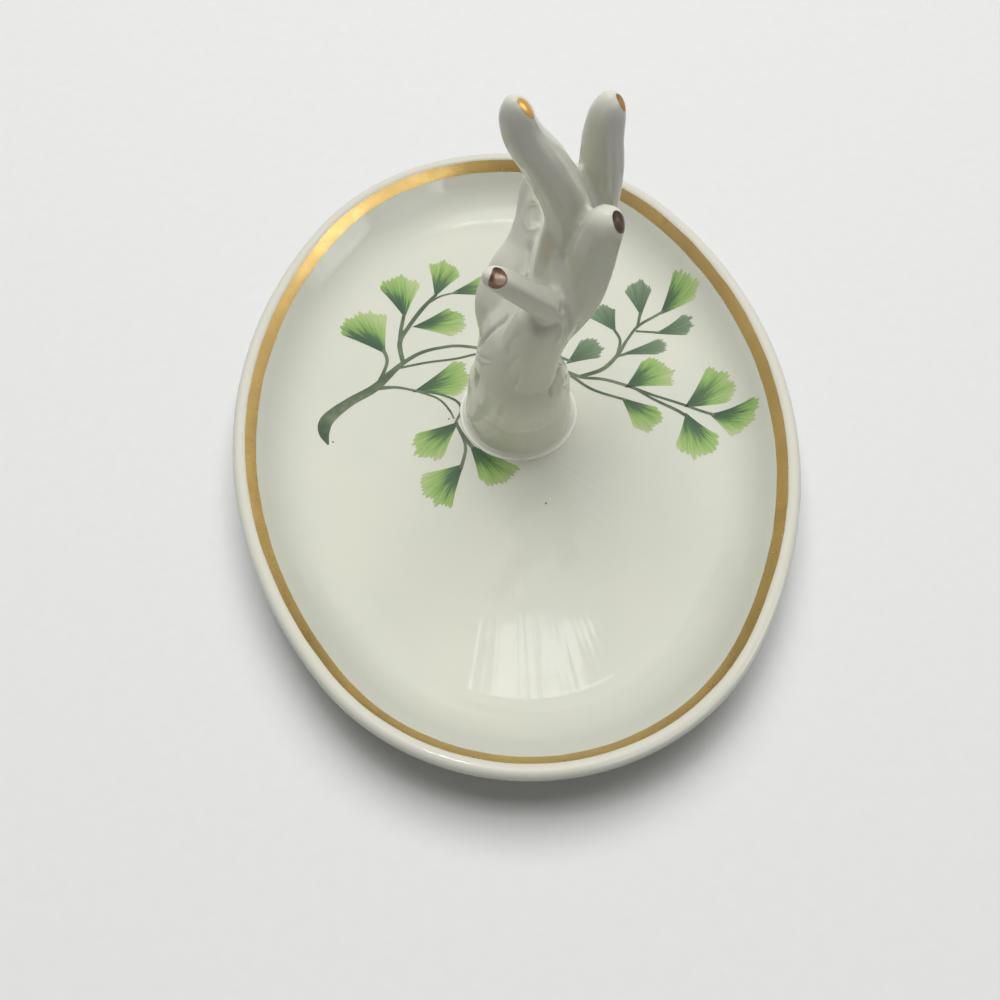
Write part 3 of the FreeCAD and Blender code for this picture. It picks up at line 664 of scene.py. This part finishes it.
def make_dish():
    """The dish casting, with its vent under the hand."""
    bm = bmesh.new()
    oval_spin(bm, dish_section(), False)
    rims = [edge for edge in bm.edges if edge.is_boundary]
    vents = []
    for height in (FLOOR_HEIGHT, FOOT_HEIGHT):
        hole = bmesh.ops.create_circle(bm, segments=VENT_SEGMENTS, radius=VENT_RADIUS,
                                       matrix=Matrix.Translation((HAND.x, HAND.y, height)))
        loop = list({edge for vert in hole["verts"] for edge in vert.link_edges})
        rim = [edge for edge in rims if abs(edge.verts[0].co.z - height) < SAME_LEVEL]
        bmesh.ops.triangle_fill(bm, edges=rim + loop, use_beauty=True, normal=UP)
        vents += loop
    bmesh.ops.bridge_loops(bm, edges=vents)
    bmesh.ops.recalc_face_normals(bm, faces=bm.faces)
    return bm


def make_band():
    """The gilt line on the slope below the lip, a little crowned, with the waver of a hand-held brush."""
    _, top, _, down = wall_face()
    inward = Vector((-down.y, down.x))
    bm = bmesh.new()
    section = []
    for i in range(BAND_STEPS + 1):
        share = i / BAND_STEPS
        spot = top + down * ((BAND_INSET + BAND_WIDTH * share - top.x) / down.x)
        section.append(spot + inward * BAND_THICKNESS * (BAND_EDGE + BAND_CROWN * share * (1 - share)))
    high, low = section[0].y, section[-1].y
    underside = [point - inward * BAND_THICKNESS * BAND_EDGE for point in (section[-1], section[0])]
    oval_spin(bm, [tuple(point) for point in section + underside], True)
    draw = random.Random(BAND_SEED)
    waves = [(draw.randint(*BAND_WAVE_COUNTS), draw.uniform(0, math.tau), draw.uniform(0.3, 1.0))
             for _ in range(BAND_WAVES)]
    for vert in bm.verts:
        turn = math.atan2(vert.co.y, vert.co.x)
        share = min(1.0, max(0.0, (high - vert.co.z) / (high - low)))
        edges = [sum(size * math.sin(count * turn + phase * side) for count, phase, size in waves)
                 for side in (1, 2)]
        waver = BAND_WAVER * (edges[0] * (1 - share) + edges[1] * share) / math.sqrt(BAND_WAVES)
        outward = Vector((vert.co.x, vert.co.y, 0)).normalized()
        vert.co += (outward * down.x - UP * down.y) * waver
    return bm


def smooth(values, share):
    """A smooth curve through a list of numbers or points, at a share of its run."""
    place = share * (len(values) - 1)
    first = min(int(place), len(values) - 2)
    t = place - first
    start, end = values[first], values[first + 1]
    before = values[first - 1] if first else start * 2 - end
    after = values[first + 2] if first + 2 < len(values) else end * 2 - start
    leave = (end - before) * 0.5
    arrive = (after - start) * 0.5
    return (start * (2 * t ** 3 - 3 * t ** 2 + 1) + leave * (t ** 3 - 2 * t ** 2 + t)
            + end * (3 * t ** 2 - 2 * t ** 3) + arrive * (t ** 3 - t ** 2))


def path_length(points):
    """The length of a smooth path."""
    places = [smooth(points, i / PATH_STEPS) for i in range(PATH_STEPS + 1)]
    return sum((b - a).length for a, b in zip(places, places[1:]))


def heading_along(points, share):
    """The direction of a smooth path at a share of its run."""
    ahead, behind = min(1, share + HEADING_STEP), max(0, share - HEADING_STEP)
    return (smooth(points, ahead) - smooth(points, behind)).normalized()


def add_ring(bm, centre, across, along, half_across, half_along, hollow=0.0, flute=0.0):
    """One section of a limb: its loop of edges, hollowed on the side away from across, or softly fluted."""
    place = Matrix((across * half_across, along * half_along, across.cross(along))).transposed().to_4x4()
    place.translation = centre
    verts = bmesh.ops.create_circle(bm, segments=LIMB_SEGMENTS, radius=1.0, matrix=place)["verts"]
    for vert in verts:
        offset = vert.co - centre
        inner, aside = -offset.dot(across) / half_across, offset.dot(along) / half_along
        vert.co += across * hollow * max(0.0, inner) ** 2 * (1 + HOLLOW_LEAN * aside)
        vert.co += offset * flute * math.cos(FLUTES * math.atan2(aside, inner))
    return list({edge for vert in verts for edge in vert.link_edges})


def bridge_limb(bm, rings):
    """Skins a row of sections and closes both ends."""
    for first, second in zip(rings, rings[1:]):
        bmesh.ops.bridge_loops(bm, edges=first + second)
    for end in (rings[0], rings[-1]):
        bmesh.ops.contextual_create(bm, geom=end)


def add_palm(bm):
    """The wrist and palm, with a low crown on its last section."""
    columns = [[Vector(row[0]) for row in PALM]] + [[row[i] for row in PALM] for i in range(1, 5)]
    steps = PALM_STEPS * len(PALM)
    rings = []
    for i in range(steps + 1):
        centre, half_thick, half_wide, lean, hollow = [smooth(column, i / steps) for column in columns]
        along = Vector((0, math.cos(math.radians(lean)), math.sin(math.radians(lean))))
        rings.append(add_ring(bm, WRIST + centre, Vector((1, 0, 0)), along, half_thick, half_wide, hollow))
    crown = WRIST + centre + Vector((1, 0, 0)).cross(along) * PALM_CROWN
    rings.append(add_ring(bm, crown, Vector((1, 0, 0)), along,
                          half_thick * CROWN_THICKNESS, half_wide * CROWN_WIDTH))
    bridge_limb(bm, rings)


def add_digit(bm, points, radii, tip):
    """A fluted, tapering limb with a rounded tip."""
    points = [Vector(point) for point in points]
    round_share = tip / path_length(points)
    steps = DIGIT_STEPS * len(points)
    shares = [i / steps * (1 - round_share) for i in range(steps)]
    shares += [1 - round_share * (1 - s) for s in TIP_SHARES]
    rings = []
    for share in shares:
        over = max(0.0, share - 1 + round_share) / round_share
        radius = smooth(radii, share) * math.sqrt(1 - over * over)
        forward = heading_along(points, share)
        across = Vector((0, 1, 0)).cross(forward).normalized()
        centre = WRIST + smooth(points, share)
        rings.append(add_ring(bm, centre, across, forward.cross(across), radius, radius,
                              flute=FLUTE_DEPTH * (1 - over)))
    bridge_limb(bm, rings)


def spin_round_cuff(bm, profile, steps):
    """Spins a closed profile of radii and heights above the floor round the middle of the cuff."""
    centre = HAND + CUFF_SHIFT
    verts = [bm.verts.new(centre + Vector((r, 0, z))) for r, z in profile]
    edges = [bm.edges.new(pair) for pair in zip(verts, verts[1:] + verts[:1])]
    bmesh.ops.spin(bm, geom=verts + edges, cent=centre, axis=UP, angle=math.tau, steps=steps, use_merge=True)


def add_cuff(bm):
    """The tapered cuff, open below where the vent meets it."""
    side = CUFF_TOP_RADIUS + CUFF_EASE
    shoulder = [(side - inset, CUFF_HEIGHT - drop) for inset, drop in CUFF_SHOULDER]
    foot = [(CUFF_BORE, -SUNK), (CUFF_FOOT_RADIUS, -SUNK), (CUFF_FOOT_RADIUS, 0)]
    spin_round_cuff(bm, foot + shoulder + [(CUFF_BORE, shoulder[0][1])], CUFF_STEPS)


def reworked(mesh, *modifiers):
    """A mesh after a row of modifiers, each a kind with its settings."""
    piece = bpy.data.objects.new("reworked", mesh)
    bpy.context.scene.collection.objects.link(piece)
    for kind, settings in modifiers:
        modifier = piece.modifiers.new(kind.lower(), kind)
        for name, value in settings.items():
            setattr(modifier, name, value)
    bpy.context.view_layer.update()
    made = bpy.data.meshes.new_from_object(piece.evaluated_get(bpy.context.evaluated_depsgraph_get()))
    bpy.data.objects.remove(piece)
    return made


def press(bm, tree, path, width, depth):
    """Presses a crease into a skin along a path, fading out at its ends, and notes how deep it is, for the
    pooled glaze and painted shade in the crease.
    """
    pool = bm.verts.layers.float["pool"]
    points = [WRIST + Vector(point) for point in path]
    steps = math.ceil(2 * path_length(points) / width)
    line = KDTree(steps + 1)
    for i in range(steps + 1):
        line.insert(tree.find_nearest(smooth(points, i / steps))[0], i)
    line.balance()
    for vert in bm.verts:
        _, step, distance = line.find(vert.co)
        if distance < CREASE_REACH * width:
            fade = min(1.0, CREASE_FADE * (step + 0.5) / steps, CREASE_FADE * (steps - step + 0.5) / steps)
            sunk = depth * fade * math.exp(-(distance / width) ** 2)
            vert.co -= vert.normal * sunk
            vert[pool] += sunk if width < POOL_WIDTH else 0.0


def make_hand():
    """The hand in one skin: its limbs flow into each other through soft webs."""
    bm = bmesh.new()
    add_palm(bm)
    add_cuff(bm)
    for points, radii, tip, *_ in DIGITS.values():
        add_digit(bm, points, radii, tip)
    add_digit(bm, HEEL, HEEL_RADII, HEEL_TIP)
    bmesh.ops.recalc_face_normals(bm, faces=bm.faces)
    mesh = bpy.data.meshes.new("hand_limbs")
    bm.to_mesh(mesh)
    bm.free()
    voxels = ("REMESH", {"mode": "VOXEL", "voxel_size": VOXEL})
    mesh = reworked(
        mesh, voxels,
        ("DISPLACE", {"strength": WEB_REACH, "mid_level": 0.0}), voxels,
        ("DISPLACE", {"strength": -WEB_REACH, "mid_level": 0.0}),
        ("REMESH", {"mode": "VOXEL", "voxel_size": SKIN_VOXEL}),
        ("SMOOTH", {"factor": 0.5, "iterations": SOFTENING}))
    bm = bmesh.new()
    bm.from_mesh(mesh)
    bm.verts.layers.float.new("pool")
    tree = BVHTree.FromBMesh(bm)
    for crease in CREASES:
        press(bm, tree, *crease)
    cut = bmesh.ops.bisect_plane(bm, geom=bm.verts[:] + bm.edges[:] + bm.faces[:], plane_co=HAND,
                                 plane_no=UP, clear_inner=True)
    loose = [edge for edge in cut["geom_cut"] if isinstance(edge, bmesh.types.BMEdge)]
    bmesh.ops.triangle_fill(bm, edges=loose, use_beauty=True, normal=-UP)
    bmesh.ops.recalc_face_normals(bm, faces=bm.faces)
    return bm


def make_slip():
    """The fillet of slip between the cuff and the floor, with a bead of glaze at its foot."""
    inner = CUFF_FOOT_RADIUS - SLIP_LAP
    bead = arc_points((CUFF_FOOT_RADIUS + SLIP_REACH - BEAD, 0.0), BEAD, 0, BEAD_TURN, BEAD_STEPS)
    bend = (CUFF_FOOT_RADIUS + SLIP_BEND, BEAD)
    top = (CUFF_FOOT_RADIUS - SLIP_TUCK, SLIP_RISE)
    climb = []
    for i in range(1, CLIMB_STEPS + 1):
        t = i / CLIMB_STEPS
        low, high = (1 - t) ** 2, t ** 2
        climb.append(tuple(a * low + b * (1 - low - high) + c * high for a, b, c in zip(bead[-1], bend, top)))
    bm = bmesh.new()
    spin_round_cuff(bm, [(inner, 0.0)] + bead + climb + [(inner, SLIP_RISE)], SLIP_STEPS)
    bmesh.ops.recalc_face_normals(bm, faces=bm.faces)
    return bm


def laid_on(bm, tree, direction, lift):
    """Drops every vertex along a direction, or else to the nearest place, on a surface and lifts it clear."""
    for vert in bm.verts:
        spot, facing, _, _ = tree.ray_cast(vert.co, direction)
        if spot is None:
            spot, facing, _, _ = tree.find_nearest(vert.co)
        vert.co = spot + facing * lift


def make_nail(tree, points, radii, facing, length, width, setback, tilt):
    """The gilding of one nail: an oval skin on the fingertip."""
    points = [Vector(point) for point in points]
    share = 1 - (setback + length / 2) / path_length(points)
    forward = heading_along(points, share)
    facing = Vector(facing)
    outward = (facing - forward * facing.dot(forward)).normalized()
    over = (outward + forward * tilt).normalized()
    centre = WRIST + smooth(points, share) + over * (NAIL_CLEAR * smooth(radii, share))
    bm = bmesh.new()
    middle = bm.verts.layers.float.new("middle")
    bmesh.ops.create_circle(bm, segments=NAIL_SEGMENTS, radius=1.0, cap_ends=True, cap_tris=True)
    spokes = [edge for edge in bm.edges if not edge.is_boundary]
    bmesh.ops.subdivide_edges(bm, edges=spokes, cuts=NAIL_RINGS)
    for vert in bm.verts:
        vert[middle] = 1 - vert.co.length
    place = Matrix((forward * length / 2, outward.cross(forward) * width / 2, outward)).transposed().to_4x4()
    place.translation = centre
    bmesh.ops.transform(bm, matrix=place, verts=bm.verts)
    laid_on(bm, tree, -over, NAIL_PROUD)
    for face in bm.faces:
        if face.normal.dot(over) < 0:
            face.normal_flip()
    bmesh.ops.solidify(bm, geom=bm.faces[:], thickness=NAIL_PROUD)
    return bm


def add_stem(bm, points, widths):
    """A brush stroke along a smooth path."""
    path = [Vector((x, y, 0)) for x, y in points]
    steps = STEM_STEPS * (len(points) - 1)
    edge = None
    for i in range(steps + 1):
        share = i / steps
        aside = UP.cross(heading_along(path, share)) * smooth(widths, share) / 2
        place = smooth(path, share) + UP * PAINT_HEIGHT
        if edge is None:
            edge = bm.edges.new((bm.verts.new(place + aside), bm.verts.new(place - aside)))
            continue
        start = edge.verts[0]
        made = bmesh.ops.extrude_edge_only(bm, edges=[edge])["geom"]
        edge = next(item for item in made if isinstance(item, bmesh.types.BMEdge))
        first = next(vert for vert in edge.verts if any(start in side.verts for side in vert.link_edges))
        second = edge.other_vert(first)
        first.co, second.co = place + aside, place - aside


def add_leaf(bm, draw, index, x, y, heading, length, spread, tip, lean, grey):
    """A fan leaf of brush strokes: a narrow foot on the stem's end, straight sides and a ragged edge."""
    uv = bm.loops.layers.uv["leaf"]
    leaning = bm.verts.layers.float["lean"]
    grid = bmesh.ops.create_grid(bm, x_segments=LEAF_COLUMNS, y_segments=LEAF_ROWS, size=0.5)["verts"]
    lobes = draw.uniform(*LOBE_COUNTS), draw.uniform(0, math.tau)
    rag = [draw.uniform(0.0, RAG_DEPTH) for _ in range(LEAF_COLUMNS + 1)]
    strokes = [draw.uniform(0.0, STROKE_DEPTH) for _ in range(draw.randint(*STROKE_COUNTS))]
    back = Vector((math.cos(math.radians(heading)), math.sin(math.radians(heading)), 0)) * LEAF_OVERLAP
    spots = {}
    for vert in grid:
        across, along = vert.co.x + 0.5, vert.co.y + 0.5
        spots[vert] = (across, along)
        side = 2 * across - 1
        lobe = LOBE_DEPTH * (1 + math.cos(lobes[0] * math.tau * across + lobes[1]))
        round_off = ROUND_OFF * ((side - tip) / (1 + abs(tip))) ** 2
        stroke = min(int(across * len(strokes)), len(strokes) - 1)
        bow = 2 * (across * len(strokes) - stroke) - 1
        short = lobe + rag[round(across * LEAF_COLUMNS)] + strokes[stroke] + BOW_DEPTH * abs(bow)
        reach = (length + LEAF_OVERLAP) * along * (1 - round_off - short * along ** EDGE_POWER)
        turn = math.radians(heading + spread * side * (FAN_START + (1 - FAN_START) * along))
        vert.co = Vector((x + reach * math.cos(turn), y + reach * math.sin(turn), PAINT_HEIGHT)) - back
        vert[leaning] = lean * side
    for face in {face for vert in grid for face in vert.link_faces}:
        face.material_index = grey
        for loop in face.loops:
            across, along = spots[loop.vert]
            loop[uv].uv = (across + LEAF_SPACING * index, along)


def on_dish(bm, tree, lift):
    """Lays painted shapes on the inside of the dish as a thin layer, and leaves out what the hand hides."""
    bmesh.ops.recalc_face_normals(bm, faces=bm.faces)
    for face in bm.faces:
        if face.normal.z < 0:
            face.normal_flip()
    laid_on(bm, tree, -UP, lift + ENAMEL_THICKNESS)
    hidden = [vert for vert in bm.verts
              if (Vector((vert.co.x, vert.co.y, 0)) - Vector((HAND.x, HAND.y, 0))).length < CUFF_FOOT_RADIUS]
    bmesh.ops.delete(bm, geom=hidden, context="VERTS")
    bmesh.ops.solidify(bm, geom=bm.faces[:], thickness=ENAMEL_THICKNESS)


def add_all(bm, other):
    """Adds one bmesh to another and frees it."""
    mesh = bpy.data.meshes.new("added")
    other.to_mesh(mesh)
    other.free()
    bm.from_mesh(mesh)
    bpy.data.meshes.remove(mesh)


dish = make_dish()
dish_tree = BVHTree.FromBMesh(dish)
hand = make_hand()
hand_tree = BVHTree.FromBMesh(hand)

for digit, (points, radii, _, *nail_shape) in DIGITS.items():
    nail = make_nail(hand_tree, points, radii, *nail_shape)
    place_piece(nail, f"{digit}_nail", [f"{digit}_nail_gilding"], [NAIL_FINISH[digit]])

draw = random.Random(LEAF_SEED)
for side in ("left", "right"):
    strokes = bmesh.new()
    for index, stem in enumerate(STEMS[side]):
        stroke = bmesh.new()
        add_stem(stroke, *stem)
        on_dish(stroke, dish_tree, ENAMEL_LIFT + index * ENAMEL_STEP)
        add_all(strokes, stroke)
    place_piece(strokes, f"{side}_stems", [f"{side}_spray_stems"], [stem_green])
    fans = bmesh.new()
    fans.loops.layers.uv.new("leaf")
    fans.verts.layers.float.new("lean")
    for index, leaf in enumerate(LEAVES[side]):
        add_leaf(fans, draw, index, *leaf)
    on_dish(fans, dish_tree, ENAMEL_LIFT)
    place_piece(fans, f"{side}_leaves", [f"{side}_spray_leaves"], [green_leaf, grey_leaf])

place_piece(make_band(), "gilt_band", ["rim_gilt_band"], [band_gold])
place_piece(make_slip(), "slip_fillet", ["luting_fillet"], [hand_glaze])
place_piece(hand, "glazed_hand",
            ["wrist_and_palm", "thumb", "index_finger", "middle_finger", "ring_finger", "little_finger"],
            [hand_glaze])
place_piece(dish, "glazed_dish", ["dish"], [dish_glaze])

# Camera, where the photograph was taken from
AIM = Vector((-4.19, -18.47, 13.5))
CAMERA_DISTANCE = 191.5
CAMERA_ELEVATION = math.radians(60.0)
CAMERA_AZIMUTH = math.radians(-4.7)
CAMERA_LENS = 38.99
CAMERA_CLIP = 0.01

backward = Vector((math.sin(CAMERA_AZIMUTH) * math.cos(CAMERA_ELEVATION),
                   -math.cos(CAMERA_AZIMUTH) * math.cos(CAMERA_ELEVATION), math.sin(CAMERA_ELEVATION)))
rightward = Vector((math.cos(CAMERA_AZIMUTH), math.sin(CAMERA_AZIMUTH), 0))
camera_data = bpy.data.cameras.new("photo_camera")
camera_data.lens = CAMERA_LENS
camera_data.clip_start = CAMERA_CLIP
camera = bpy.data.objects.new("photo_camera", camera_data)
camera.matrix_world = Matrix((rightward, backward.cross(rightward), backward)).transposed().to_4x4()
camera.location = (AIM + backward * CAMERA_DISTANCE) * METRES
bpy.context.scene.collection.objects.link(camera)
bpy.context.scene.camera = camera

# Table
TABLE_SIZE = 3.0
table_bm = bmesh.new()
bmesh.ops.create_grid(table_bm, x_segments=1, y_segments=1, size=TABLE_SIZE)
table_mesh = bpy.data.meshes.new("table")
table_bm.to_mesh(table_mesh)
table_bm.free()
table_mesh.materials.append(backdrop_material())
table = bpy.data.objects.new("table", table_mesh)
bpy.context.scene.collection.objects.link(table)


def add_softbox(name, place, aim, width, height, power, mirrored=True):
    """A rectangular lamp at a place, turned to a point, in metres; it may be kept out of reflections."""
    data = bpy.data.lights.new(name, "AREA")
    data.shape = "RECTANGLE"
    data.size, data.size_y, data.energy = width, height, power
    lamp = bpy.data.objects.new(name, data)
    lamp.location = place
    lamp.rotation_euler = (Vector(aim) - Vector(place)).to_track_quat("-Z", "Y").to_euler()
    lamp.visible_glossy = mirrored
    bpy.context.scene.collection.objects.link(lamp)


PANE_AIM = (0, -0.04, 0)
PANE_SIZE = (0.036, 0.056)
add_softbox("left_pane", (0.029, 0.260, 0.765), PANE_AIM, *PANE_SIZE, 0.0135)
add_softbox("right_pane", (0.076, 0.260, 0.765), PANE_AIM, *PANE_SIZE, 0.0145)
add_softbox("bulb", (-0.08, 0.12, 1.0), (0, 0, 0), 0.06, 0.06, 0.34)
add_softbox("ceiling", (0.04, 0.28, 1.05), (0, 0, 0), 0.8, 0.8, 11.2, mirrored=False)

# Studio: dim for the shade on the object, plain and pale where it is seen, and uneven where it is mirrored
SHADE_LEVEL = 0.15
MIRROR_LEVELS = (0.30, 0.85)
BRIGHT_SIDE = Vector((0.40, 0.50, 0.78))
BRIGHT_SPREAD = (-0.6, 1.0)
# Patches of the mirrored room: towards where, the cosines where each starts and is full, and what it adds
MIRROR_PATCHES = [
    ((0.60, -0.55, 0.58), 0.93, 0.985, 1.0),
    ((-0.05, -0.80, 0.60), 0.86, 0.98, -0.25),
    ((-0.02, 0.10, 0.99), 0.955, 0.985, 1.2),
    ((0.90, -0.10, 0.42), 0.965, 0.988, 2.2),
    ((0.34, -0.70, 0.63), 0.989, 0.997, 1.6),
]

world = bpy.data.worlds.new("studio")
world.use_nodes = True
sky = world.node_tree
background = sky.nodes["Background"]
background.inputs["Color"].default_value = (*STUDIO_TINT, 1)
direction = node(sky, "ShaderNodeTexCoord").outputs["Generated"]


def towards(aim, start, end, low, high):
    """A level that goes from low to high as a direction nears an aim, between two cosines."""
    facing = measure(sky, "DOT_PRODUCT", direction, Vector(aim).normalized())
    return between(sky, facing, start, end, low, high)


mirrored = towards(BRIGHT_SIDE, *BRIGHT_SPREAD, *MIRROR_LEVELS)
for aim, start, full, added in MIRROR_PATCHES:
    patch = towards(aim, start, full, 0.0, added)
    mirrored = maths(sky, "ADD", mirrored, patch)
level = node(sky, "ShaderNodeMix", {0: seen_or_mirrored(sky), 2: SHADE_LEVEL, 3: mirrored}).outputs[0]
seen = node(sky, "ShaderNodeLightPath").outputs["Is Camera Ray"]
level = node(sky, "ShaderNodeMix", {0: seen, 2: level, 3: SEEN_LEVEL}).outputs[0]
sky.links.new(level, background.inputs["Strength"])
bpy.context.scene.world = world
bpy.context.scene.view_settings.view_transform = "Standard"
